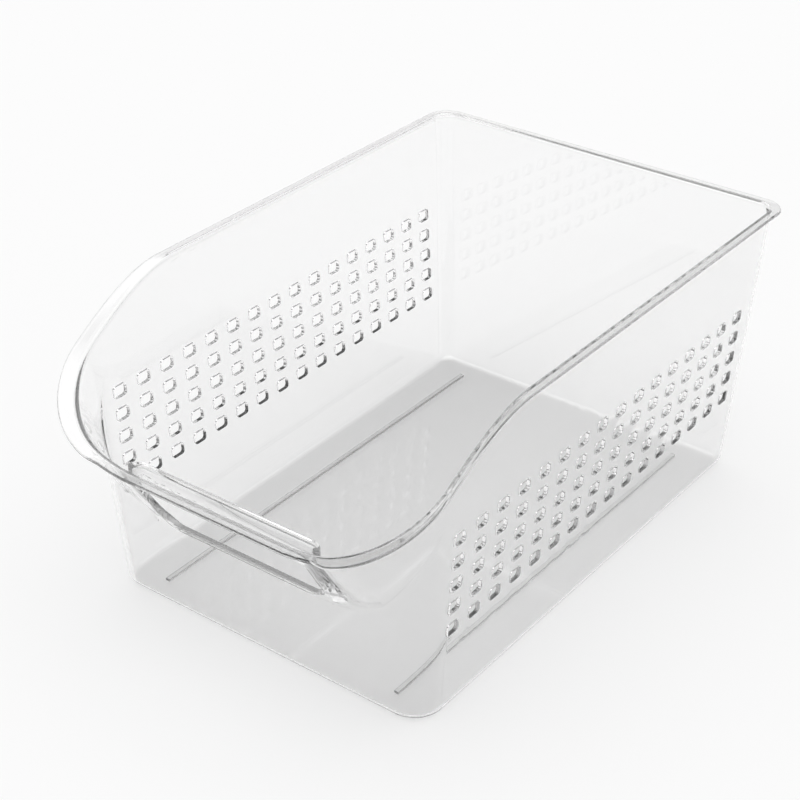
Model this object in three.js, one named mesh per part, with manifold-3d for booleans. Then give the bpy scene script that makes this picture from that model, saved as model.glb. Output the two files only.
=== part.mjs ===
// Clear fridge bin: an open tub with perforated side walls, whose rim dips in a long curve to a low
// front with a finger opening, a grip bar behind the rim and two rails on the floor.
// Millimetres, +Z up. The origin is on the surface the bin stands on, under the middle of its box.
// The front, with the handle, faces -Y. Left and right are as seen from the front.
import * as THREE from 'three';
import { mergeVertices } from 'three/addons/utils/BufferGeometryUtils.js';
import Module from 'manifold-3d';

const wasm = await Module();
wasm.setup();

// Tub: thickness and heights
const wall = 2.2;
const floorThickness = 2.2;
const backHeight = 146.5;
const frontHeight = 93.8;

// Tub: inside faces, from the middle, at the floor and at the rim
const floorHalfWidth = 88.9;
const rimHalfWidth = 98.3;
const floorFront = 121.5;
const rimFront = 150.9;
const floorBack = 142.8;
const rimBack = 150.9;
const floorFrontRadius = 13;
const rimFrontRadius = 34;
const floorBackRadius = 6.2;
const rimBackRadius = 8;
const outerBottomRadius = 5.2;
const innerBottomRadius = 2.2;

// Front wall: it leans a little up to a crease and flares from there up to the rim
const leanShare = 0.343;
const frontCreaseShare = 0.6;
const shoulderCreaseShare = 0.66;
const sideCreaseShare = 0.88;

// Rim: the inside face rolls over into a flange with its own outline
const rimRollRadius = 2.8;
const flangeReach = 6.2;
const flangeThickness = 1.9;
const flangeFrontRadius = 35;
const flangeBackRadius = 12;

// Rim dip, measured along the rim from the middle of the front
const dipStart = 43.4;
const dipLength = 124.8;

// Side holes
const holeColumns = 16;
const holeRows = 5;
const holePitch = 15.6;
const holeRowPitch = 11.8;
const holeWidth = 7.6;
const holeHeight = 6;
const holeCorner = 1.5;
const holeGridMiddle = 10.9;
const lowestHoleRow = 47;

// Finger opening
const openingHalfWidth = 47.4;
const openingHeight = 27.4;
const openingDrop = 11.2;
const openingLowCorner = 10;
const openingTopCorner = 3;

// Surround of the opening: a raised panel, flush under the flange, that stands out towards its low edge
const surroundHalfWidth = 58.4;
const surroundRise = 2.5;
const surroundEdge = 0.9;
const surroundBevel = 2.9;
const surroundDrop = 2.4;
const surroundFoot = 0.8;

// Grip bar: it stands on the inside of the flare and leaves a groove between itself and the rim
const gripHalfLength = 52.6;
const gripDepth = 7.4;
const gripHeight = 8.2;
const gripDrop = 2.4;
const gripSeat = 2.2;
const gripNearRadius = 2;
const gripFarRadius = 3.2;
const gripEndRadius = 6.2;
const gripEndShare = 0.25;
const gripGap = 0.3;

// Floor rails
const railOffset = 67.6;
const railWidth = 2.6;
const railHeight = 1.2;
const railFront = 111.2;
const railBack = 128.4;
const railCorner = 0.35;

// How far every cutting shape runs past the material that it cuts
const overrun = 12;

// Steps of the curved stretches
const surroundStepShare = 0.42;
const shoulderSteps = 4;
const frontCornerSteps = 12;
const backCornerSteps = 5;
const sideDipSteps = 10;
const sideDipShare = 0.33;
const edgeSteps = 4;
const holeCornerSteps = 1;
const gripEndSteps = 5;

const lerp = THREE.MathUtils.lerp;
const smoothstep = THREE.MathUtils.smoothstep;
const quarterTurn = Math.PI / 2;

// How far the surround stands out at a height: none at its foot, most just above it, none under the flange
const surroundLow = lerp(floorThickness, frontHeight, frontCreaseShare) - surroundDrop;
const surroundHigh = frontHeight - flangeThickness;

function surroundRiseAt(z) {
  const above = THREE.MathUtils.clamp((surroundHigh - z) / (surroundHigh - surroundLow), 0, 1);
  const below = THREE.MathUtils.clamp((z - surroundLow + surroundFoot) / surroundFoot, 0, 1);
  return surroundRise * Math.min(above, below);
}

// The station at the surround's edge moves sideways with the height. Every other one stays as it is
function placeAt(station, z) {
  if (station.stretch !== 'surroundEdge') {
    return station;
  }
  return { stretch: 'front', way: surroundHalfWidth - surroundEdge - surroundBevel * surroundRiseAt(z) };
}

// Plan of the inside face
// A station is a place along the plan outline. The reach is 0 at the floor outline, 1 at the rim outline.
function halfWidthAt(z) {
  const share = (z - floorThickness) / (backHeight - floorThickness);
  return lerp(floorHalfWidth, rimHalfWidth, share);
}

function backAt(z) {
  const share = (z - floorThickness) / (backHeight - floorThickness);
  return lerp(floorBack, rimBack, share);
}

function creaseShareAt(station) {
  if (station.stretch === 'front') {
    return frontCreaseShare;
  }
  if (station.stretch === 'shoulder') {
    return lerp(frontCreaseShare, shoulderCreaseShare, station.share * station.share);
  }
  if (station.stretch === 'frontCorner') {
    return lerp(shoulderCreaseShare, sideCreaseShare, station.share);
  }
  return sideCreaseShare;
}

function reachAt(station, z) {
  const share = (z - floorThickness) / (rimHeightAt(station) - floorThickness);
  const crease = creaseShareAt(station);
  const flare = Math.max(0, (share - crease) / (1 - crease));
  return leanShare * share + (1 - leanShare) * flare;
}

function outlinePoint(station, outline) {
  const { width, front, back, frontRadius, backRadius } = outline;
  const angle = station.share * quarterTurn;
  const sin = Math.sin(angle);
  const cos = Math.cos(angle);
  if (station.stretch === 'front') {
    return { x: station.way, y: -front, nx: 0, ny: -1 };
  }
  if (station.stretch === 'shoulder') {
    const x = lerp(surroundHalfWidth, width - frontRadius, station.share);
    return { x, y: -front, nx: 0, ny: -1 };
  }
  if (station.stretch === 'frontCorner') {
    const x = width - frontRadius + frontRadius * sin;
    const y = frontRadius - front - frontRadius * cos;
    return { x, y, nx: sin, ny: -cos };
  }
  if (station.stretch === 'side') {
    return { x: width, y: lerp(frontRadius - front, back - backRadius, station.share), nx: 1, ny: 0 };
  }
  const x = width - backRadius + backRadius * cos;
  const y = back - backRadius + backRadius * sin;
  return { x, y, nx: cos, ny: sin };
}

function planPoint(station, z) {
  const place = placeAt(station, z);
  const reach = reachAt(place, z);
  return outlinePoint(place, {
    width: halfWidthAt(z),
    front: lerp(floorFront, rimFront, reach),
    back: backAt(z),
    frontRadius: lerp(floorFrontRadius, rimFrontRadius, reach),
    backRadius: lerp(floorBackRadius, rimBackRadius, reach),
  });
}

// Height of the rim at a station, from the way along the rim to it
const rimFrontRun = halfWidthAt(frontHeight) - rimFrontRadius;
const rimCornerRun = rimFrontRadius * quarterTurn;
const rimSideRun = rimFront - rimFrontRadius + rimBack - rimBackRadius;

function rimWayTo(station) {
  if (station.stretch === 'front') {
    return station.way;
  }
  if (station.stretch === 'surroundEdge') {
    return surroundHalfWidth - surroundEdge;
  }
  if (station.stretch === 'shoulder') {
    return lerp(surroundHalfWidth, rimFrontRun, station.share);
  }
  if (station.stretch === 'frontCorner') {
    return rimFrontRun + station.share * rimCornerRun;
  }
  if (station.stretch === 'side') {
    return rimFrontRun + rimCornerRun + station.share * rimSideRun;
  }
  return rimFrontRun + rimCornerRun + rimSideRun;
}

function rimHeightAt(station) {
  const along = smoothstep(rimWayTo(station), dipStart, dipStart + dipLength);
  return lerp(frontHeight, backHeight, along);
}

// Stations of the right half, from the middle of the front to the middle of the back
function halfStations() {
  const half = [
    { stretch: 'front', way: dipStart },
    { stretch: 'front', way: lerp(dipStart, surroundHalfWidth, surroundStepShare) },
    { stretch: 'surroundEdge' },
  ];
  for (let i = 0; i < shoulderSteps; i += 1) {
    half.push({ stretch: 'shoulder', share: i / shoulderSteps });
  }
  for (let i = 0; i <= frontCornerSteps; i += 1) {
    half.push({ stretch: 'frontCorner', share: i / frontCornerSteps });
  }
  for (let i = 1; i <= sideDipSteps; i += 1) {
    half.push({ stretch: 'side', share: (sideDipShare * i) / sideDipSteps });
  }
  for (let i = 0; i <= backCornerSteps; i += 1) {
    half.push({ stretch: 'backCorner', share: i / backCornerSteps });
  }
  return half;
}

// All stations, counter-clockwise seen from above: the right half, then its mirror image
const rightHalf = halfStations().map((station) => ({ ...station, side: 1 }));
const leftHalf = halfStations().map((station) => ({ ...station, side: -1 })).reverse();
const stations = [...rightHalf, ...leftHalf];

// One ring round the tub: zOf gives a station's height, and offsetOf how far out from the inside face
function ring(offsetOf, zOf) {
  return stations.map((station) => {
    const z = zOf(station);
    const offset = offsetOf(station, z);
    const plan = planPoint(station, z);
    return [station.side * (plan.x + plan.nx * offset), plan.y + plan.ny * offset, z];
  });
}

// One ring round the flange, set in by a length from its outer edge and lifted from the rim
function flangeRing(inset, lift) {
  return stations.map((station) => {
    const top = rimHeightAt(station);
    const plan = outlinePoint(placeAt(station, top), {
      width: halfWidthAt(top) + flangeReach,
      front: rimFront + flangeReach,
      back: backAt(top) + flangeReach,
      frontRadius: flangeFrontRadius,
      backRadius: flangeBackRadius,
    });
    return [station.side * (plan.x - plan.nx * inset), plan.y - plan.ny * inset, top + lift];
  });
}

// A closed solid through rings of equal count, flat at both ends. across gives an end's two axes.
function loft(rings, across) {
  const count = rings[0].length;
  const index = [];
  for (let k = 0; k + 1 < rings.length; k += 1) {
    for (let i = 0; i < count; i += 1) {
      const next = (i + 1) % count;
      const a = k * count + i;
      const b = k * count + next;
      const c = (k + 1) * count + next;
      const d = (k + 1) * count + i;
      index.push(a, b, c, a, c, d);
    }
  }
  const lastStart = (rings.length - 1) * count;
  const ends = [rings[0], rings[rings.length - 1]].map((end) => {
    const outline = end.map((point) => new THREE.Vector2(point[across[0]], point[across[1]]));
    return THREE.ShapeUtils.triangulateShape(outline, []);
  });
  for (const [a, b, c] of ends[0]) {
    index.push(c, b, a);
  }
  for (const [a, b, c] of ends[1]) {
    index.push(lastStart + a, lastStart + b, lastStart + c);
  }
  const geometry = new THREE.BufferGeometry();
  geometry.setAttribute('position', new THREE.Float32BufferAttribute(rings.flat(2), 3));
  geometry.setIndex(index);
  return geometry;
}

// Joining and cutting
function toSolid(source) {
  const bare = source.clone();
  bare.deleteAttribute('normal');
  bare.deleteAttribute('uv');
  const merged = mergeVertices(bare);
  return new wasm.Manifold(new wasm.Mesh({
    numProp: 3,
    vertProperties: new Float32Array(merged.attributes.position.array),
    triVerts: new Uint32Array(merged.index.array),
  }));
}

function toGeometry(solid) {
  const mesh = solid.getMesh();
  const geometry = new THREE.BufferGeometry();
  geometry.setAttribute('position', new THREE.Float32BufferAttribute(mesh.vertProperties, 3));
  geometry.setIndex(new THREE.Uint32BufferAttribute(mesh.triVerts, 1));
  geometry.computeVertexNormals();
  return geometry;
}

// A rectangle with one radius at its low corners and one at its top corners
function roundedShape(halfWidth, bottom, top, lowRadius, topRadius) {
  const shape = new THREE.Shape();
  shape.moveTo(lowRadius - halfWidth, bottom);
  shape.absarc(halfWidth - lowRadius, bottom + lowRadius, lowRadius, -quarterTurn, 0);
  shape.absarc(halfWidth - topRadius, top - topRadius, topRadius, 0, quarterTurn);
  shape.absarc(topRadius - halfWidth, top - topRadius, topRadius, quarterTurn, 2 * quarterTurn);
  shape.absarc(lowRadius - halfWidth, bottom + lowRadius, lowRadius, 2 * quarterTurn, 3 * quarterTurn);
  return shape;
}

// A shape drawn in Y and Z, run along X
function alongX(shape, from, to, curveSegments) {
  const geometry = new THREE.ExtrudeGeometry(shape, { depth: to - from, bevelEnabled: false, curveSegments });
  const axes = [new THREE.Vector3(0, 1, 0), new THREE.Vector3(0, 0, 1), new THREE.Vector3(1, 0, 0)];
  geometry.applyMatrix4(new THREE.Matrix4().makeBasis(...axes));
  return geometry.translate(from, 0, 0);
}

// A shape drawn in X and Z, run along Y
function alongY(shape, from, to, curveSegments) {
  const geometry = new THREE.ExtrudeGeometry(shape, { depth: to - from, bevelEnabled: false, curveSegments });
  const axes = [new THREE.Vector3(1, 0, 0), new THREE.Vector3(0, 0, 1), new THREE.Vector3(0, -1, 0)];
  geometry.applyMatrix4(new THREE.Matrix4().makeBasis(...axes));
  return geometry.translate(0, to, 0);
}

function creaseAt(station) {
  const place = placeAt(station, surroundLow);
  return lerp(floorThickness, rimHeightAt(place), creaseShareAt(place));
}

function outerOffset(station, z) {
  const raised = station.stretch === 'front' || station.stretch === 'surroundEdge';
  return raised ? wall + surroundRiseAt(z) : wall;
}

// Tub shell: up the outside, round the flange, down the inside to the floor
function tubShell() {
  const rings = [];
  for (let i = 0; i <= edgeSteps; i += 1) {
    const angle = (i / edgeSteps) * quarterTurn;
    const offset = wall - outerBottomRadius * (1 - Math.sin(angle));
    const z = outerBottomRadius * (1 - Math.cos(angle));
    rings.push(ring(() => offset, () => z));
  }
  rings.push(ring(outerOffset, () => surroundLow - surroundFoot));
  rings.push(ring(outerOffset, () => surroundLow));
  rings.push(ring(outerOffset, creaseAt));
  rings.push(ring(outerOffset, (station) => rimHeightAt(station) - flangeThickness));
  const edgeRadius = flangeThickness / 2;
  for (let i = 0; i <= edgeSteps; i += 1) {
    const angle = (i / edgeSteps) * 2 * quarterTurn - quarterTurn;
    rings.push(flangeRing(edgeRadius * (1 - Math.cos(angle)), edgeRadius * (Math.sin(angle) - 1)));
  }
  for (let i = 0; i <= edgeSteps; i += 1) {
    const angle = (i / edgeSteps) * quarterTurn;
    const offset = rimRollRadius * (1 - Math.sin(angle));
    const drop = rimRollRadius * (1 - Math.cos(angle));
    rings.push(ring(() => offset, (station) => rimHeightAt(station) - drop));
  }
  rings.push(ring(() => 0, creaseAt));
  const innerFoot = floorThickness + innerBottomRadius;
  for (let i = 0; i <= edgeSteps; i += 1) {
    const angle = (i / edgeSteps) * quarterTurn;
    const offset = -innerBottomRadius * (1 - Math.cos(angle));
    const z = innerFoot - innerBottomRadius * Math.sin(angle);
    rings.push(ring(() => offset, () => z));
  }
  return toSolid(loft(rings, [0, 1]));
}

function sideHoles() {
  const reach = rimHalfWidth + wall + overrun;
  const shape = roundedShape(holeWidth / 2, -holeHeight / 2, holeHeight / 2, holeCorner, holeCorner);
  const cutters = [];
  for (let column = 0; column < holeColumns; column += 1) {
    for (let row = 0; row < holeRows; row += 1) {
      const cutter = alongX(shape, -reach, reach, holeCornerSteps);
      const y = holeGridMiddle + (column - (holeColumns - 1) / 2) * holePitch;
      cutter.translate(0, y, lowestHoleRow + row * holeRowPitch);
      cutters.push(toSolid(cutter));
    }
  }
  return wasm.Manifold.union(cutters);
}

function fingerOpening() {
  const top = frontHeight - openingDrop;
  const bottom = top - openingHeight;
  const shape = roundedShape(openingHalfWidth, bottom, top, openingLowCorner, openingTopCorner);
  return toSolid(alongY(shape, -rimFront - overrun, -floorFront + overrun, edgeSteps));
}

function tubGeometry() {
  return toGeometry(tubShell().subtract(sideHoles()).subtract(fingerOpening()));
}

// Grip bar: a rounded bar with a narrow slanted seat on the flare and ends rounded in plan
function gripSection(x, depthShare) {
  const top = frontHeight - gripDrop;
  const foot = top - gripHeight;
  const station = { stretch: 'front', way: Math.abs(x) };
  const seatAt = (z) => planPoint(station, z).y + gripGap;
  const near = seatAt(foot + gripSeat);
  const far = planPoint({ stretch: 'front', way: 0 }, foot + gripSeat).y + gripGap + gripDepth;
  const corner = (y, z, radius, start) => {
    const points = [];
    for (let i = 0; i <= edgeSteps; i += 1) {
      const angle = start + (i / edgeSteps) * quarterTurn;
      points.push([y + radius * Math.cos(angle), z + radius * Math.sin(angle)]);
    }
    return points;
  };
  const outline = [
    [near, foot + gripSeat],
    [seatAt(foot), foot],
    ...corner(far - gripFarRadius, foot + gripFarRadius, gripFarRadius, -quarterTurn),
    ...corner(far - gripFarRadius, top - gripFarRadius, gripFarRadius, 0),
    ...corner(near + gripNearRadius, top - gripNearRadius, gripNearRadius, quarterTurn),
  ];
  return outline.map(([y, z]) => [x, lerp(Math.max(near, seatAt(z)), y, depthShare), z]);
}

function gripGeometry() {
  const places = [];
  for (let i = 0; i <= gripEndSteps; i += 1) {
    const angle = (i / gripEndSteps) * quarterTurn;
    const x = gripHalfLength - gripEndRadius * (1 - Math.cos(angle));
    places.push({ x, depthShare: lerp(gripEndShare, 1, Math.sin(angle)) });
  }
  const leftPlaces = places.map(({ x, depthShare }) => ({ x: -x, depthShare }));
  const allPlaces = [...leftPlaces, ...[...places].reverse()];
  const geometry = loft(allPlaces.map((place) => gripSection(place.x, place.depthShare)), [1, 2]);
  geometry.computeVertexNormals();
  return geometry;
}

// Floor rail: a long strip with its top edges eased
function railGeometry() {
  const half = railWidth / 2;
  const shape = new THREE.Shape();
  shape.moveTo(-half, 0);
  shape.lineTo(half, 0);
  shape.lineTo(half, railHeight - railCorner);
  shape.lineTo(half - railCorner, railHeight);
  shape.lineTo(railCorner - half, railHeight);
  shape.lineTo(-half, railHeight - railCorner);
  return alongY(shape, -railFront, railBack, holeCornerSteps);
}

function clearPlastic(color, opacity) {
  return new THREE.MeshStandardMaterial({
    color,
    roughness: 0.05,
    metalness: 0,
    transparent: true,
    opacity,
  });
}

function piece(name, geometry, material) {
  const mesh = new THREE.Mesh(geometry, material);
  mesh.name = name;
  return mesh;
}

const bin = new THREE.Group();
bin.name = 'fridge_bin';
bin.add(piece('tub', tubGeometry(), clearPlastic(0xf0f2f3, 0.3)));
bin.add(piece('grip_bar', gripGeometry(), clearPlastic(0xe9ecee, 0.4)));
for (const [name, side] of [['floor_rail_left', -1], ['floor_rail_right', 1]]) {
  const rail = piece(name, railGeometry(), clearPlastic(0xe4e7e9, 0.4));
  rail.position.set(side * railOffset, 0, floorThickness);
  bin.add(rail);
}

export default bin;
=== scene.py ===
# Clear fridge bin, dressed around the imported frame: the tub, the grip bar and the two floor rails.
# Metres, +Z up, in the frame's own coordinates. The front, with the handle, faces -Y.
import math
from collections import namedtuple

import bmesh
import bpy
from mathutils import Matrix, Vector


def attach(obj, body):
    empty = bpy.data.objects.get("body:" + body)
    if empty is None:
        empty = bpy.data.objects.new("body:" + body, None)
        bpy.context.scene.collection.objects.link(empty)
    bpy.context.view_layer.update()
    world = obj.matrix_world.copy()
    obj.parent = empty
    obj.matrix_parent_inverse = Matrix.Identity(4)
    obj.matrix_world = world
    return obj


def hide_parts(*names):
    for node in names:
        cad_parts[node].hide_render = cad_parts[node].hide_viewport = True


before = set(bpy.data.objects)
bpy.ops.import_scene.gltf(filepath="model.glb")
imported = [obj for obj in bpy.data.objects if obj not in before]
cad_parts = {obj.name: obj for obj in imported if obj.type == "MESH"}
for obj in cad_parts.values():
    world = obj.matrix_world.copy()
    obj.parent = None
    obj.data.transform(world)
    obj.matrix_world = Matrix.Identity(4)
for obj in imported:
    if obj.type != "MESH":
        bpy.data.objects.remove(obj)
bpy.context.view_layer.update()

MM = 0.001
QUARTER = math.pi / 2

# Tub: thickness and heights
WALL = 2.2 * MM
FLOOR_THICKNESS = 2.2 * MM
BACK_HEIGHT = 146.5 * MM
FRONT_HEIGHT = 93.8 * MM

# Tub: inside faces, from the middle, at the floor and at the rim
FLOOR_HALF_WIDTH = 88.9 * MM
RIM_HALF_WIDTH = 98.3 * MM
FLOOR_FRONT = 121.5 * MM
RIM_FRONT = 150.9 * MM
FLOOR_BACK = 142.8 * MM
RIM_BACK = 150.9 * MM
FLOOR_FRONT_RADIUS = 13 * MM
RIM_FRONT_RADIUS = 34 * MM
FLOOR_BACK_RADIUS = 6.2 * MM
RIM_BACK_RADIUS = 8 * MM
OUTER_BOTTOM_RADIUS = 5.2 * MM
INNER_BOTTOM_RADIUS = 2.2 * MM

# Front wall: it leans a little up to a rounded crease and flares from there up to the rim
LEAN_SHARE = 0.343
FRONT_CREASE_SHARE = 0.6
SHOULDER_CREASE_SHARE = 0.66
SIDE_CREASE_SHARE = 0.88
CREASE_SOFT_SHARE = 0.08

# Rim: the inside face rolls over into a flange with its own outline
RIM_ROLL_RADIUS = 2.8 * MM
FLANGE_REACH = 6.2 * MM
FLANGE_THICKNESS = 1.9 * MM
FLANGE_FRONT_RADIUS = 35 * MM
FLANGE_BACK_RADIUS = 12 * MM
FLANGE_FILLET = 0.7 * MM

# Rim dip, measured along the rim from the middle of the front
DIP_START = 43.4 * MM
DIP_LENGTH = 124.8 * MM

# Side holes
HOLE_COLUMNS = 16
HOLE_ROWS = 5
HOLE_PITCH = 15.6 * MM
HOLE_ROW_PITCH = 11.8 * MM
HOLE_WIDTH = 7.6 * MM
HOLE_HEIGHT = 6 * MM
HOLE_CORNER = 1.5 * MM
HOLE_GRID_MIDDLE = 10.9 * MM
LOWEST_HOLE_ROW = 47 * MM
HOLE_EASE = 0.3 * MM

# Finger opening
OPENING_HALF_WIDTH = 47.4 * MM
OPENING_HEIGHT = 27.4 * MM
OPENING_DROP = 11.2 * MM
OPENING_TOP = FRONT_HEIGHT - OPENING_DROP
OPENING_BOTTOM = OPENING_TOP - OPENING_HEIGHT
OPENING_LOW_CORNER = 10 * MM
OPENING_TOP_CORNER = 3 * MM
OPENING_EASE = 0.5 * MM

# Surround of the opening: a raised panel, flush under the flange, that stands out towards its low edge
SURROUND_HALF_WIDTH = 58.4 * MM
SURROUND_RISE = 2.5 * MM
SURROUND_EDGE = 0.9 * MM
SURROUND_BEVEL_RUNS_PER_RISE = 2.9
SURROUND_DROP = 2.4 * MM
SURROUND_FOOT = 0.8 * MM
SURROUND_LOW = FLOOR_THICKNESS + (FRONT_HEIGHT - FLOOR_THICKNESS) * FRONT_CREASE_SHARE - SURROUND_DROP
SURROUND_HIGH = FRONT_HEIGHT - FLANGE_THICKNESS

# Grip bar
GRIP_HALF_LENGTH = 52.6 * MM
GRIP_DEPTH = 7.4 * MM
GRIP_HEIGHT = 8.2 * MM
GRIP_DROP = 2.4 * MM
GRIP_SEAT = 2.2 * MM
GRIP_NEAR_RADIUS = 2 * MM
GRIP_FAR_RADIUS = 3.2 * MM
GRIP_END_RADIUS = 6.2 * MM
GRIP_END_SHARE = 0.25
GRIP_GAP = 0.3 * MM

# Floor rails. They lie a hair above the floor, so that no two clear faces share a place
RAIL_OFFSET = 67.6 * MM
RAIL_WIDTH = 2.6 * MM
RAIL_HEIGHT = 1.2 * MM
RAIL_FRONT = 111.2 * MM
RAIL_BACK = 128.4 * MM
RAIL_CORNER = 0.35 * MM
RAIL_LIFT = 0.03 * MM

# Steps of the curved stretches
PANEL_STEPS = 9
EDGE_BAND_STEPS = 4
SHOULDER_STEPS = 8
CORNER_STEPS = 24
BACK_CORNER_STEPS = 12
DIP_STEPS = 26
DIP_SIDE_SHARE = 0.34
FILLET_STEPS = 9
EDGE_STEPS = 12
EASE_STEPS = 2
HOLE_CORNER_STEPS = 5
HOLE_EDGE_STEPS = (HOLE_CORNER_STEPS // 2 + 1, HOLE_CORNER_STEPS // 2 + 1, 1, 1, 1)
OPENING_EDGE_STEPS = (4, 3, 10, 6, 12)
OPENING_FACE_STEPS = 5
FLANGE_FILLET_STEPS = 3
GRIP_END_STEPS = 10
SHARP_ANGLE = math.radians(32)

# Camera: the photograph's viewpoint
CAMERA_PLACE = (438 * MM, -596 * MM, 521 * MM)
CAMERA_TARGET = (48.1 * MM, -82.3 * MM, 130.3 * MM)
CAMERA_LENS = 81.38
CAMERA_SENSOR = 36

# Turns that light may take through the clear plastic
CLEAR_BOUNCES = 24
GLOSS_BOUNCES = 12
PASSED_BOUNCES = 32

# Stage
STAGE_DROP = 0.25 * MM
STAGE_HALF = 14.0


def lerp(a, b, share):
    return a + (b - a) * share


def smoothstep(value, low, high):
    share = min(1, max(0, (value - low) / (high - low)))
    return share * share * (3 - 2 * share)


# Plan of the inside face. A station is a place along the plan outline
Station = namedtuple("Station", "stretch share way side")


def surround_edge_at(z):
    """Where the raised panel round the finger opening begins to fall to the flare, across the front."""
    above = min(1, max(0, (SURROUND_HIGH - z) / (SURROUND_HIGH - SURROUND_LOW)))
    return SURROUND_HALF_WIDTH - SURROUND_EDGE - SURROUND_BEVEL_RUNS_PER_RISE * SURROUND_RISE * above


def place_at(station, z):
    """Stations of the panel and of its edge move sideways with the height. Every other one stays."""
    if station.stretch == "panel":
        return Station("front", 0, station.share * surround_edge_at(z), station.side)
    if station.stretch == "edge_band":
        way = lerp(surround_edge_at(z), SURROUND_HALF_WIDTH, station.share)
        return Station("front", 0, way, station.side)
    return station


def half_width_at(z):
    share = (z - FLOOR_THICKNESS) / (BACK_HEIGHT - FLOOR_THICKNESS)
    return lerp(FLOOR_HALF_WIDTH, RIM_HALF_WIDTH, share)


def back_at(z):
    share = (z - FLOOR_THICKNESS) / (BACK_HEIGHT - FLOOR_THICKNESS)
    return lerp(FLOOR_BACK, RIM_BACK, share)


RIM_FRONT_RUN = half_width_at(FRONT_HEIGHT) - RIM_FRONT_RADIUS
RIM_CORNER_RUN = RIM_FRONT_RADIUS * QUARTER
RIM_SIDE_RUN = RIM_FRONT - RIM_FRONT_RADIUS + RIM_BACK - RIM_BACK_RADIUS


def rim_way_to(station):
    if station.stretch == "front":
        return station.way
    if station.stretch in ("panel", "edge_band"):
        return place_at(station, SURROUND_HIGH).way
    if station.stretch == "shoulder":
        return lerp(SURROUND_HALF_WIDTH, RIM_FRONT_RUN, station.share)
    if station.stretch == "front_corner":
        return RIM_FRONT_RUN + station.share * RIM_CORNER_RUN
    if station.stretch == "side":
        return RIM_FRONT_RUN + RIM_CORNER_RUN + station.share * RIM_SIDE_RUN
    return RIM_FRONT_RUN + RIM_CORNER_RUN + RIM_SIDE_RUN


def rim_height_at(station):
    along = smoothstep(rim_way_to(station), DIP_START, DIP_START + DIP_LENGTH)
    return lerp(FRONT_HEIGHT, BACK_HEIGHT, along)


def crease_share_at(station):
    if station.stretch == "front":
        return FRONT_CREASE_SHARE
    if station.stretch == "shoulder":
        return lerp(FRONT_CREASE_SHARE, SHOULDER_CREASE_SHARE, station.share ** 2)
    if station.stretch == "front_corner":
        return lerp(SHOULDER_CREASE_SHARE, SIDE_CREASE_SHARE, station.share)
    return SIDE_CREASE_SHARE


def crease_at(station):
    place = place_at(station, SURROUND_LOW)
    return lerp(FLOOR_THICKNESS, rim_height_at(place), crease_share_at(place))


def soft_ramp(value, soft):
    """Zero below, the value itself above, and a rounded bend between."""
    if value <= -soft:
        return 0
    if value >= soft:
        return value
    return (value + soft) ** 2 / (4 * soft)


def reach_at(station, z):
    """0 at the floor outline, 1 at the rim outline."""
    share = (z - FLOOR_THICKNESS) / (rim_height_at(station) - FLOOR_THICKNESS)
    crease = crease_share_at(station)
    flare = soft_ramp((share - crease) / (1 - crease), CREASE_SOFT_SHARE)
    return LEAN_SHARE * share + (1 - LEAN_SHARE) * flare


def outline_point(station, width, front, back, front_radius, back_radius):
    """The point of a rounded outline at a station, and the outward direction there."""
    sin = math.sin(station.share * QUARTER)
    cos = math.cos(station.share * QUARTER)
    if station.stretch == "front":
        return station.way, -front, 0, -1
    if station.stretch == "shoulder":
        return lerp(SURROUND_HALF_WIDTH, width - front_radius, station.share), -front, 0, -1
    if station.stretch == "front_corner":
        x = width - front_radius + front_radius * sin
        return x, front_radius - front - front_radius * cos, sin, -cos
    if station.stretch == "side":
        return width, lerp(front_radius - front, back - back_radius, station.share), 1, 0
    return width - back_radius + back_radius * cos, back - back_radius + back_radius * sin, cos, sin


def wall_point(station, z, offset=0):
    """A point of the wall at a station, an offset out from its inside face."""
    place = place_at(station, z)
    reach = reach_at(place, z)
    x, y, out_x, out_y = outline_point(
        place,
        half_width_at(z),
        lerp(FLOOR_FRONT, RIM_FRONT, reach),
        back_at(z),
        lerp(FLOOR_FRONT_RADIUS, RIM_FRONT_RADIUS, reach),
        lerp(FLOOR_BACK_RADIUS, RIM_BACK_RADIUS, reach),
    )
    return Vector((station.side * (x + out_x * offset), y + out_y * offset, z))


def flange_point(station, inset, lift):
    """A point of the flange, set in from its outer edge and lifted from the rim."""
    top = rim_height_at(station)
    x, y, out_x, out_y = outline_point(
        place_at(station, top),
        half_width_at(top) + FLANGE_REACH,
        RIM_FRONT + FLANGE_REACH,
        back_at(top) + FLANGE_REACH,
        FLANGE_FRONT_RADIUS,
        FLANGE_BACK_RADIUS,
    )
    return Vector((station.side * (x - out_x * inset), y - out_y * inset, top + lift))


def front_station(x):
    return Station("front", 0, abs(x), 1 if x >= 0 else -1)


def surround_rise(x, z):
    """How far the panel round the finger opening stands out of the flare."""
    above = SURROUND_RISE * (SURROUND_HIGH - z) / (SURROUND_HIGH - SURROUND_LOW)
    below = SURROUND_RISE * (z - SURROUND_LOW + SURROUND_FOOT) / SURROUND_FOOT
    across = (SURROUND_HALF_WIDTH - SURROUND_EDGE - abs(x)) / SURROUND_BEVEL_RUNS_PER_RISE
    return max(0, min(above, below, across))


def outer_offset(station, z):
    place = place_at(station, z)
    if place.stretch != "front":
        return WALL
    return WALL + surround_rise(place.way, z)


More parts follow.
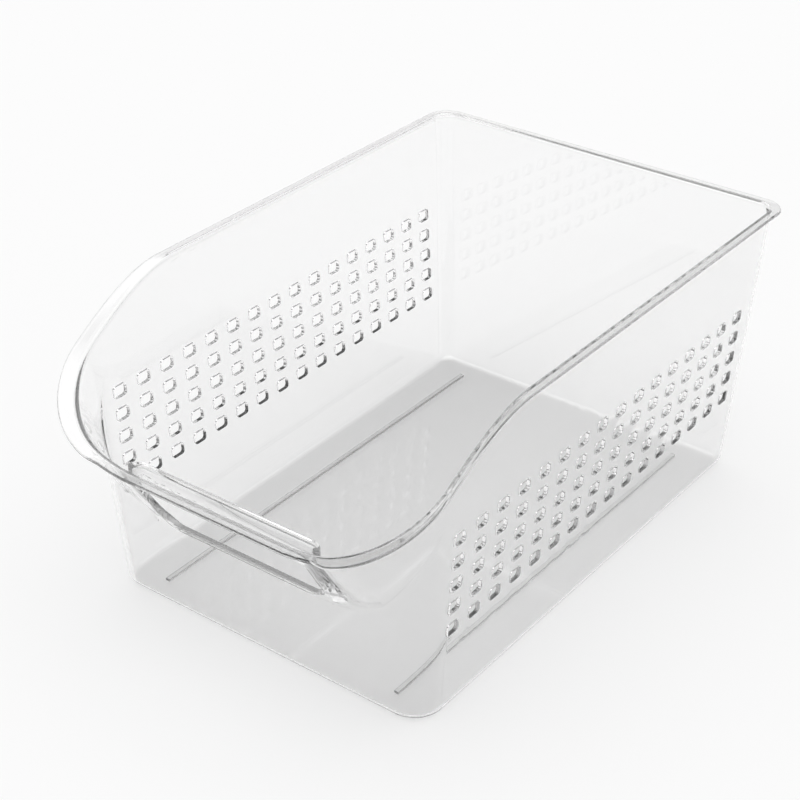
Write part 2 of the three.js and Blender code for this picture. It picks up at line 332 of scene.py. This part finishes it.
# Stations of the whole outline, counter-clockwise from the middle of the front
def half_stations():
    half = [("panel", i / PANEL_STEPS, 0) for i in range(PANEL_STEPS + 1)]
    half += [("edge_band", i / EDGE_BAND_STEPS, 0) for i in range(1, EDGE_BAND_STEPS + 1)]
    half += [("shoulder", i / SHOULDER_STEPS, 0) for i in range(1, SHOULDER_STEPS + 1)]
    half += [("front_corner", i / CORNER_STEPS, 0) for i in range(1, CORNER_STEPS + 1)]
    half += [("side", DIP_SIDE_SHARE * i / DIP_STEPS, 0) for i in range(1, DIP_STEPS + 1)]
    half += [("back_corner", i / BACK_CORNER_STEPS, 0) for i in range(BACK_CORNER_STEPS + 1)]
    return half


RIGHT = [Station(*place, 1) for place in half_stations()]
LEFT = [Station(*place, -1) for place in half_stations()[1:]][::-1]
STATIONS = RIGHT + LEFT
COUNT = len(STATIONS)

# First and last station of the flat stretch of each side wall, right and left
SIDE_FIRST = PANEL_STEPS + EDGE_BAND_STEPS + SHOULDER_STEPS + CORNER_STEPS
SIDE_LAST = SIDE_FIRST + DIP_STEPS + 1
SPANS = ((SIDE_FIRST, SIDE_LAST), (COUNT - SIDE_LAST, COUNT - SIDE_FIRST))

# Levels of the wall: up to the panel's foot, over its foot, round the crease, and up to the head
FOOT_SHARES = (0, 0.35, 0.7)
STEP_LIFTS = (-1.05 * MM, -0.7 * MM, -0.3 * MM, 0.05 * MM)
BEND_SHARES = (-0.6, -0.2, 0.2, 0.6, 1)
HEAD_SHARES = (0.14, 0.3, 0.46, 0.64, 0.83, 1)

# The block of levels that the face round the finger opening replaces: it ends 4 levels up the head
BLOCK_HEAD_LEVELS = 4
BLOCK_LOW = len(FOOT_SHARES)
BLOCK_HIGH = BLOCK_LOW + len(STEP_LIFTS) + len(BEND_SHARES) + BLOCK_HEAD_LEVELS


def wall_levels(foot, head_of):
    """Functions that give each level's height at a station."""
    def bend(s, share):
        place = place_at(s, SURROUND_LOW)
        soft = CREASE_SOFT_SHARE * (rim_height_at(place) - FLOOR_THICKNESS) * (1 - crease_share_at(place))
        return crease_at(s) + share * soft

    steps_start = SURROUND_LOW + STEP_LIFTS[0]
    levels = [lambda s, share=share: lerp(foot, steps_start, share) for share in FOOT_SHARES]
    levels += [lambda s, lift=lift: SURROUND_LOW + lift for lift in STEP_LIFTS]
    levels += [lambda s, share=share: bend(s, share) for share in BEND_SHARES]
    levels += [lambda s, share=share: lerp(bend(s, 1), head_of(s), share) for share in HEAD_SHARES]
    return levels


def rounded_outline(half_width, bottom, top, low_radius, top_radius, counts):
    """Points and outward directions round a rectangle with rounded corners, from the middle of its low
    left corner. counts: steps of half a low corner, half a top corner, the bottom, the sides, the top."""
    low_steps, top_steps, bottom_steps, side_steps, over_steps = counts
    found = []

    def arc(x, z, radius, start, steps):
        for i in range(steps):
            angle = start + QUARTER / 2 * i / steps
            cos = math.cos(angle)
            sin = math.sin(angle)
            found.append((x + radius * cos, z + radius * sin, cos, sin))

    def line(a, b, out, steps):
        for i in range(steps):
            share = i / steps
            found.append((lerp(a[0], b[0], share), lerp(a[1], b[1], share), *out))

    low_x = half_width - low_radius
    low_z = bottom + low_radius
    top_x = half_width - top_radius
    top_z = top - top_radius
    eighth = QUARTER / 2
    arc(-low_x, low_z, low_radius, -3 * eighth, low_steps)
    line((-low_x, bottom), (low_x, bottom), (0, -1), bottom_steps)
    arc(low_x, low_z, low_radius, -2 * eighth, low_steps)
    arc(low_x, low_z, low_radius, -eighth, low_steps)
    line((half_width, low_z), (half_width, top_z), (1, 0), side_steps)
    arc(top_x, top_z, top_radius, 0, top_steps)
    arc(top_x, top_z, top_radius, eighth, top_steps)
    line((top_x, top), (-top_x, top), (0, 1), over_steps)
    arc(-top_x, top_z, top_radius, 2 * eighth, top_steps)
    arc(-top_x, top_z, top_radius, 3 * eighth, top_steps)
    line((-half_width, top_z), (-half_width, low_z), (-1, 0), side_steps)
    arc(-low_x, low_z, low_radius, 4 * eighth, low_steps)
    return found


# Mesh building
def ring(bm, points):
    return [bm.verts.new(point) for point in points]


def bridge(bm, lower, upper, skip=()):
    count = len(lower)
    for i in range(count):
        if i in skip:
            continue
        j = (i + 1) % count
        bm.faces.new((lower[i], lower[j], upper[j], upper[i]))


def bridge_all(bm, rings):
    for lower, upper in zip(rings, rings[1:]):
        bridge(bm, lower, upper)


def closed_edges(bm, loop):
    edges = []
    for i, vert in enumerate(loop):
        other = loop[(i + 1) % len(loop)]
        edges.append(bm.edges.get((vert, other)) or bm.edges.new((vert, other)))
    return edges


def stretch_loop(rings, low, high, first, last):
    """The vertices round a rectangle of the grid, from ring low and station first, counter-clockwise."""
    places = [i % COUNT for i in range(first, last + 1)]
    loop = [rings[low][i] for i in places]
    loop += [rings[k][places[-1]] for k in range(low + 1, high)]
    loop += [rings[high][i] for i in reversed(places)]
    loop += [rings[k][places[0]] for k in range(high - 1, low, -1)]
    return loop


def hole_rings(bm, side, outer):
    """The loops of every side hole, from the eased edge on a face to the depth of the ease."""
    loops = []
    half_height = HOLE_HEIGHT / 2
    outline = rounded_outline(
        HOLE_WIDTH / 2, -half_height, half_height, HOLE_CORNER, HOLE_CORNER, HOLE_EDGE_STEPS
    )
    for column in range(HOLE_COLUMNS):
        for row in range(HOLE_ROWS):
            middle_y = HOLE_GRID_MIDDLE + (column - (HOLE_COLUMNS - 1) / 2) * HOLE_PITCH
            middle_z = LOWEST_HOLE_ROW + row * HOLE_ROW_PITCH
            rings = []
            for i in range(EASE_STEPS + 1):
                angle = i / EASE_STEPS * QUARTER
                grow = HOLE_EASE * (1 - math.sin(angle))
                depth = HOLE_EASE * (1 - math.cos(angle))
                points = []
                for y, z, out_y, out_z in outline:
                    place_z = middle_z + z + out_z * grow
                    face = half_width_at(place_z)
                    x = face + WALL - depth if outer else face + depth
                    points.append((side * x, middle_y + y + out_y * grow, place_z))
                rings.append(ring(bm, points))
            loops.append(rings)
    return loops


def opening_outline(grow):
    outline = rounded_outline(
        OPENING_HALF_WIDTH,
        OPENING_BOTTOM,
        OPENING_TOP,
        OPENING_LOW_CORNER,
        OPENING_TOP_CORNER,
        OPENING_EDGE_STEPS,
    )
    return [(x + out_x * grow, z + out_z * grow) for x, z, out_x, out_z in outline]


def front_face_point(x, z, outer, depth):
    station = front_station(x)
    if not outer:
        point = wall_point(station, z, depth)
        return Vector((x, point.y, z))
    point = wall_point(station, z, outer_offset(station, z) - depth)
    return Vector((x, point.y, z))


def opening_rings(bm, boundary, outer):
    """The front face round the finger opening, and the opening's eased edge on that face."""
    outline = opening_outline(OPENING_EASE)
    rings = [boundary]
    for k in reversed(range(OPENING_FACE_STEPS)):
        share = k / OPENING_FACE_STEPS
        points = []
        for (x, z), vert in zip(outline, boundary):
            place_x = lerp(x, vert.co.x, share)
            place_z = lerp(z, vert.co.z, share)
            points.append(front_face_point(place_x, place_z, outer, 0))
        rings.append(ring(bm, points))
    for i in range(1, EASE_STEPS + 2):
        angle = i / (EASE_STEPS + 1) * QUARTER
        grow = OPENING_EASE * (1 - math.sin(angle))
        depth = OPENING_EASE * (1 - math.cos(angle))
        rings.append(ring(bm, [front_face_point(x, z, outer, depth) for x, z in opening_outline(grow)]))
    for upper, lower in zip(rings, rings[1:]):
        bridge(bm, lower, upper)
    return rings[-1]


def wall_face(bm, outer, rings):
    """Closes the wall's own rings, with the side holes and the finger opening left out of it."""
    last = len(rings) - 1
    flat = {i % COUNT for first, end in SPANS for i in range(first, end)}
    block = {i % COUNT for i in range(-PANEL_STEPS, PANEL_STEPS)}
    for k in range(last):
        skip = set(flat)
        if BLOCK_LOW <= k < BLOCK_HIGH:
            skip |= block
        bridge(bm, rings[k], rings[k + 1], skip)
    holes = []
    for (first, end), side in zip(SPANS, (1, -1)):
        loops = hole_rings(bm, side, outer)
        edges = closed_edges(bm, stretch_loop(rings, 0, last, first, end))
        for loop in loops:
            edges += closed_edges(bm, loop[0])
            bridge_all(bm, loop)
        slope = (RIM_HALF_WIDTH - FLOOR_HALF_WIDTH) / (BACK_HEIGHT - FLOOR_THICKNESS)
        bmesh.ops.triangle_fill(bm, use_beauty=True, edges=edges, normal=(side, 0, -slope))
        holes += [loop[-1] for loop in loops]
    for a, b in zip(rings[BLOCK_LOW:], rings[BLOCK_LOW + 1:]):
        for place in (PANEL_STEPS, COUNT - PANEL_STEPS):
            if outer:
                bm.edges.get((a[place], b[place])).smooth = False
    boundary = stretch_loop(rings, BLOCK_LOW, BLOCK_HIGH, -PANEL_STEPS, PANEL_STEPS)
    return holes, opening_rings(bm, boundary, outer)


def tub_mesh():
    bm = bmesh.new()
    top_of_outer = lambda s: rim_height_at(s) - FLANGE_THICKNESS - FLANGE_FILLET
    top_of_inner = lambda s: rim_height_at(s) - RIM_ROLL_RADIUS
    bottom = []
    for i in range(FILLET_STEPS):
        angle = i / FILLET_STEPS * QUARTER
        offset = WALL - OUTER_BOTTOM_RADIUS * (1 - math.sin(angle))
        z = OUTER_BOTTOM_RADIUS * (1 - math.cos(angle))
        bottom.append(ring(bm, [wall_point(s, z, offset) for s in STATIONS]))
    outside = []
    for level in wall_levels(OUTER_BOTTOM_RADIUS, top_of_outer):
        outside.append(ring(bm, [wall_point(s, level(s), outer_offset(s, level(s))) for s in STATIONS]))
    rim = []
    for i in range(1, FLANGE_FILLET_STEPS + 1):
        angle = i / FLANGE_FILLET_STEPS * QUARTER
        out = FLANGE_FILLET * (1 - math.cos(angle))
        rise = FLANGE_FILLET * math.sin(angle)
        points = []
        for s in STATIONS:
            z = top_of_outer(s) + rise
            points.append(wall_point(s, z, outer_offset(s, z) + out))
        rim.append(ring(bm, points))
    edge_radius = FLANGE_THICKNESS / 2
    for i in range(EDGE_STEPS + 1):
        angle = i / EDGE_STEPS * math.pi - QUARTER
        inset = edge_radius * (1 - math.cos(angle))
        lift = edge_radius * (math.sin(angle) - 1)
        rim.append(ring(bm, [flange_point(s, inset, lift) for s in STATIONS]))
    for i in range(FILLET_STEPS):
        angle = i / FILLET_STEPS * QUARTER
        offset = RIM_ROLL_RADIUS * (1 - math.sin(angle))
        drop = RIM_ROLL_RADIUS * (1 - math.cos(angle))
        rim.append(ring(bm, [wall_point(s, rim_height_at(s) - drop, offset) for s in STATIONS]))
    inner_foot = FLOOR_THICKNESS + INNER_BOTTOM_RADIUS
    inside = []
    for level in wall_levels(inner_foot, top_of_inner):
        inside.append(ring(bm, [wall_point(s, level(s)) for s in STATIONS]))
    foot = []
    for i in range(1, FILLET_STEPS + 1):
        angle = i / FILLET_STEPS * QUARTER
        offset = -INNER_BOTTOM_RADIUS * (1 - math.cos(angle))
        z = inner_foot - INNER_BOTTOM_RADIUS * math.sin(angle)
        foot.append(ring(bm, [wall_point(s, z, offset) for s in STATIONS]))
    bridge_all(bm, bottom + [outside[0]])
    bridge_all(bm, [outside[-1]] + rim + [inside[-1]])
    bridge_all(bm, [inside[0]] + foot)
    bm.faces.new(reversed(bottom[0]))
    bm.faces.new(foot[-1])
    outer_holes, outer_opening = wall_face(bm, True, outside)
    inner_holes, inner_opening = wall_face(bm, False, inside)
    for a, b in zip(outer_holes, inner_holes):
        bridge(bm, a, b)
    bridge(bm, outer_opening, inner_opening)
    return bm


def finished_piece(name, bm):
    """Tidies a closed mesh, marks its sharp edges and makes it an object."""
    loose = [v for v in bm.verts if not v.link_faces]
    bmesh.ops.delete(bm, geom=loose, context="VERTS")
    bmesh.ops.recalc_face_normals(bm, faces=bm.faces)
    for face in bm.faces:
        face.smooth = True
    for edge in bm.edges:
        if edge.calc_face_angle() > SHARP_ANGLE:
            edge.smooth = False
    mesh = bpy.data.meshes.new(name)
    bm.to_mesh(mesh)
    bm.free()
    piece = bpy.data.objects.new(name, mesh)
    bpy.context.collection.objects.link(piece)
    modifier = piece.modifiers.new("weighted", "WEIGHTED_NORMAL")
    modifier.keep_sharp = True
    return piece


def grip_section(x, depth_share):
    top = FRONT_HEIGHT - GRIP_DROP
    foot = top - GRIP_HEIGHT
    station = front_station(x)

    def seat_at(z):
        return wall_point(station, z).y + GRIP_GAP

    near = seat_at(foot + GRIP_SEAT)
    far = wall_point(front_station(0), foot + GRIP_SEAT).y + GRIP_GAP + GRIP_DEPTH
    points = [(near, foot + GRIP_SEAT), (seat_at(foot), foot)]
    corners = (
        (far - GRIP_FAR_RADIUS, foot + GRIP_FAR_RADIUS, GRIP_FAR_RADIUS, -QUARTER),
        (far - GRIP_FAR_RADIUS, top - GRIP_FAR_RADIUS, GRIP_FAR_RADIUS, 0),
        (near + GRIP_NEAR_RADIUS, top - GRIP_NEAR_RADIUS, GRIP_NEAR_RADIUS, QUARTER),
    )
    for y, z, radius, start in corners:
        for i in range(EDGE_STEPS + 1):
            angle = start + i / EDGE_STEPS * QUARTER
            points.append((y + radius * math.cos(angle), z + radius * math.sin(angle)))
    return [Vector((x, lerp(max(near, seat_at(z)), y, depth_share), z)) for y, z in points]


def grip_mesh():
    bm = bmesh.new()
    places = []
    for i in range(GRIP_END_STEPS + 1):
        angle = i / GRIP_END_STEPS * QUARTER
        x = GRIP_HALF_LENGTH - GRIP_END_RADIUS * (1 - math.cos(angle))
        places.append((x, lerp(GRIP_END_SHARE, 1, math.sin(angle))))
    sections = [(-x, share) for x, share in places] + places[::-1]
    rings = [ring(bm, grip_section(x, share)) for x, share in sections]
    bridge_all(bm, rings)
    bm.faces.new(rings[0])
    bm.faces.new(reversed(rings[-1]))
    return bm


def rail_mesh(side):
    """A strip with its top edges and its two ends eased."""
    bm = bmesh.new()
    half = RAIL_WIDTH / 2
    steps = EASE_STEPS + 1
    ease = []
    for i in range(steps + 1):
        angle = i / steps * QUARTER
        ease.append((RAIL_CORNER * (1 - math.cos(angle)), RAIL_CORNER * (1 - math.sin(angle))))
    profile = [(half, 0)] + [(half - inset, RAIL_HEIGHT - drop) for inset, drop in ease]
    profile += [(-x, z) for x, z in reversed(profile)]
    places = [(-RAIL_FRONT + inset, drop) for inset, drop in ease]
    places += [(RAIL_BACK - inset, drop) for inset, drop in reversed(ease)]
    base = FLOOR_THICKNESS + RAIL_LIFT
    rings = []
    for y, shrink in places:
        points = []
        for x, z in profile:
            place_x = math.copysign(abs(x) - shrink, x)
            place_z = max(0, min(z, RAIL_HEIGHT - shrink) - RAIL_LIFT)
            points.append((side * RAIL_OFFSET + place_x, y, base + place_z))
        rings.append(ring(bm, points))
    bridge_all(bm, rings)
    bm.faces.new(rings[0])
    bm.faces.new(reversed(rings[-1]))
    return bm


# Clear plastic: how it bends light, the share of soft light that a face lets pass, the turns after which
# light that is caught between the faces leaves them, and the share of it that each face then lets pass
CLEAR_IOR = 1.5
PASSED_SHARE = 0.9
CAUGHT_TURNS = 7.5
# Painted shade: this grey, not traced light, sets how dark the edges where light gets trapped look
CAUGHT_PAINTED_SHADE = 0.65

# Wear of the plastic: fine rubbed spots, a touch less glossy than the rest
RUB_SCALE = 160
RUB_DETAIL = 6
RUB_FROM = 0.45
RUB_FULL = 0.8
RUB_ROUGHNESS = 0.012
WAVE_DETAIL = 2

# Each plastic: its tint, and the scale and height of the waves that the mould left
BODY_LOOK = (0.965, 18, 0.015 * MM)
GRIP_LOOK = (0.985, 40, 0.006 * MM)
RAIL_LOOK = (0.96, 60, 0.01 * MM)

# Stage paper
PAPER_SHADE = 0.92


# Materials
def node(tree, kind, x, y, **values):
    made = tree.nodes.new(kind)
    made.location = (x, y)
    for key, value in values.items():
        setattr(made, key, value)
    return made


def grey(level):
    return level, level, level, 1


def clear_plastic(name, tint, wave_scale, wave_height):
    """Clear moulded plastic: faint waves of the moulding, fine rubbed spots, and soft light let through.
    Light that is caught between the faces leaves after a few turns through a grey see-through face. That
    grey is painted shade: it sets how grey the edges where light gets trapped look."""
    material = bpy.data.materials.new(name)
    material.use_nodes = True
    tree = material.node_tree
    tree.nodes.clear()
    place = node(tree, "ShaderNodeTexCoord", -1100, 0)
    waves = node(tree, "ShaderNodeTexNoise", -850, -200)
    waves.inputs["Scale"].default_value = wave_scale
    waves.inputs["Detail"].default_value = WAVE_DETAIL
    bump = node(tree, "ShaderNodeBump", -400, -250)
    bump.inputs["Strength"].default_value = 1
    bump.inputs["Distance"].default_value = wave_height
    rub = node(tree, "ShaderNodeTexNoise", -850, 150)
    rub.inputs["Scale"].default_value = RUB_SCALE
    rub.inputs["Detail"].default_value = RUB_DETAIL
    gloss = node(tree, "ShaderNodeMapRange", -600, 150)
    gloss.inputs["From Min"].default_value = RUB_FROM
    gloss.inputs["From Max"].default_value = RUB_FULL
    gloss.inputs["To Min"].default_value = 0
    gloss.inputs["To Max"].default_value = RUB_ROUGHNESS
    body = node(tree, "ShaderNodeBsdfPrincipled", -100, 0)
    body.inputs["Base Color"].default_value = grey(tint)
    body.inputs["Transmission Weight"].default_value = 1
    body.inputs["IOR"].default_value = CLEAR_IOR
    passed = node(tree, "ShaderNodeBsdfTransparent", -100, 250)
    passed.inputs["Color"].default_value = grey(PASSED_SHARE)
    path = node(tree, "ShaderNodeLightPath", -600, 500)
    either = node(tree, "ShaderNodeMath", -100, 450, operation="MAXIMUM")
    mix = node(tree, "ShaderNodeMixShader", 150, 100)
    caught = node(tree, "ShaderNodeMath", -100, 650, operation="GREATER_THAN")
    caught.inputs[1].default_value = CAUGHT_TURNS
    # Painted shade: caught light leaves through this grey see-through face, which sets the grey of
    # trapped-light edges
    painted_caught_shade = node(tree, "ShaderNodeBsdfTransparent", 150, -50)
    painted_caught_shade.inputs["Color"].default_value = grey(CAUGHT_PAINTED_SHADE)
    release = node(tree, "ShaderNodeMixShader", 350, 100)
    out = node(tree, "ShaderNodeOutputMaterial", 550, 100)
    link = tree.links.new
    link(place.outputs["Object"], waves.inputs["Vector"])
    link(place.outputs["Object"], rub.inputs["Vector"])
    link(waves.outputs["Fac"], bump.inputs["Height"])
    link(bump.outputs["Normal"], body.inputs["Normal"])
    link(rub.outputs["Fac"], gloss.inputs["Value"])
    link(gloss.outputs["Result"], body.inputs["Roughness"])
    link(path.outputs["Is Shadow Ray"], either.inputs[0])
    link(path.outputs["Is Diffuse Ray"], either.inputs[1])
    link(path.outputs["Ray Depth"], caught.inputs[0])
    link(either.outputs["Value"], mix.inputs["Fac"])
    link(body.outputs["BSDF"], mix.inputs[1])
    link(passed.outputs["BSDF"], mix.inputs[2])
    link(caught.outputs["Value"], release.inputs["Fac"])
    link(mix.outputs["Shader"], release.inputs[1])
    link(painted_caught_shade.outputs["BSDF"], release.inputs[2])
    link(release.outputs["Shader"], out.inputs["Surface"])
    return material


def stage_material():
    material = bpy.data.materials.new("stage_paper")
    material.use_nodes = True
    tree = material.node_tree
    body = tree.nodes["Principled BSDF"]
    body.inputs["Base Color"].default_value = grey(PAPER_SHADE)
    body.inputs["Roughness"].default_value = 1
    body.inputs["Specular IOR Level"].default_value = 0
    return material


# Light: a pale horizon, a dim studio above it and a broad bright ceiling. Each band is the upward part of
# the direction, from straight down at -1 to straight up at 1, and the level of light from there
WORLD_TOP = 2.0
WORLD_BANDS = ((-0.2, 0.9), (0.16, 0.85), (0.27, 0.33), (0.66, 0.33), (0.84, 1.95), (1.0, 1.95))


def light_world():
    world = bpy.data.worlds.new("studio")
    bpy.context.scene.world = world
    world.use_nodes = True
    tree = world.node_tree
    tree.nodes.clear()
    place = node(tree, "ShaderNodeTexCoord", -800, 0)
    split = node(tree, "ShaderNodeSeparateXYZ", -600, 0)
    ramp = node(tree, "ShaderNodeValToRGB", -200, 0)
    spread = node(tree, "ShaderNodeMapRange", -400, 0)
    spread.inputs["From Min"].default_value = -1
    spread.inputs["From Max"].default_value = 1
    elements = ramp.color_ramp.elements
    for index, (height, level) in enumerate(WORLD_BANDS):
        position = (height + 1) / 2
        element = elements[index] if index < 2 else elements.new(position)
        element.position = position
        element.color = grey(level / WORLD_TOP)
    background = node(tree, "ShaderNodeBackground", 100, 0)
    background.inputs["Strength"].default_value = WORLD_TOP
    out = node(tree, "ShaderNodeOutputWorld", 300, 0)
    link = tree.links.new
    link(place.outputs["Generated"], split.inputs["Vector"])
    link(split.outputs["Z"], spread.inputs["Value"])
    link(spread.outputs["Result"], ramp.inputs["Fac"])
    link(ramp.outputs["Color"], background.inputs["Color"])
    link(background.outputs["Background"], out.inputs["Surface"])


def place_camera():
    data = bpy.data.cameras.new("camera")
    data.lens = CAMERA_LENS
    data.sensor_width = CAMERA_SENSOR
    camera = bpy.data.objects.new("camera", data)
    bpy.context.collection.objects.link(camera)
    camera.location = CAMERA_PLACE
    view = Vector(CAMERA_TARGET) - Vector(CAMERA_PLACE)
    camera.rotation_euler = view.to_track_quat("-Z", "Y").to_euler()
    bpy.context.scene.camera = camera


def lay_stage():
    mesh = bpy.data.meshes.new("stage_floor")
    turns = ((-1, -1), (1, -1), (1, 1), (-1, 1))
    corners = [(x * STAGE_HALF, y * STAGE_HALF, -STAGE_DROP) for x, y in turns]
    mesh.from_pydata(corners, [], [(0, 1, 2, 3)])
    floor = bpy.data.objects.new("stage_floor", mesh)
    bpy.context.collection.objects.link(floor)
    mesh.materials.append(stage_material())


def dress(piece, node_name, material):
    piece.data.materials.append(material)
    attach(piece, "root")
    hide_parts(node_name)


place_camera()
lay_stage()
light_world()

body_plastic = clear_plastic("clear_body_plastic", *BODY_LOOK)
grip_plastic = clear_plastic("clear_grip_plastic", *GRIP_LOOK)
rail_plastic = clear_plastic("clear_rail_plastic", *RAIL_LOOK)

dress(finished_piece("tub_shell", tub_mesh()), "tub", body_plastic)
dress(finished_piece("grip_handle", grip_mesh()), "grip_bar", grip_plastic)
for rail_name, rail_side in (("floor_rail_left", -1), ("floor_rail_right", 1)):
    rail = finished_piece(rail_name + "_strip", rail_mesh(rail_side))
    dress(rail, rail_name, rail_plastic)

scene = bpy.context.scene
scene.view_settings.view_transform = "Standard"
scene.cycles.max_bounces = CLEAR_BOUNCES
scene.cycles.transmission_bounces = CLEAR_BOUNCES
scene.cycles.glossy_bounces = GLOSS_BOUNCES
scene.cycles.transparent_max_bounces = PASSED_BOUNCES
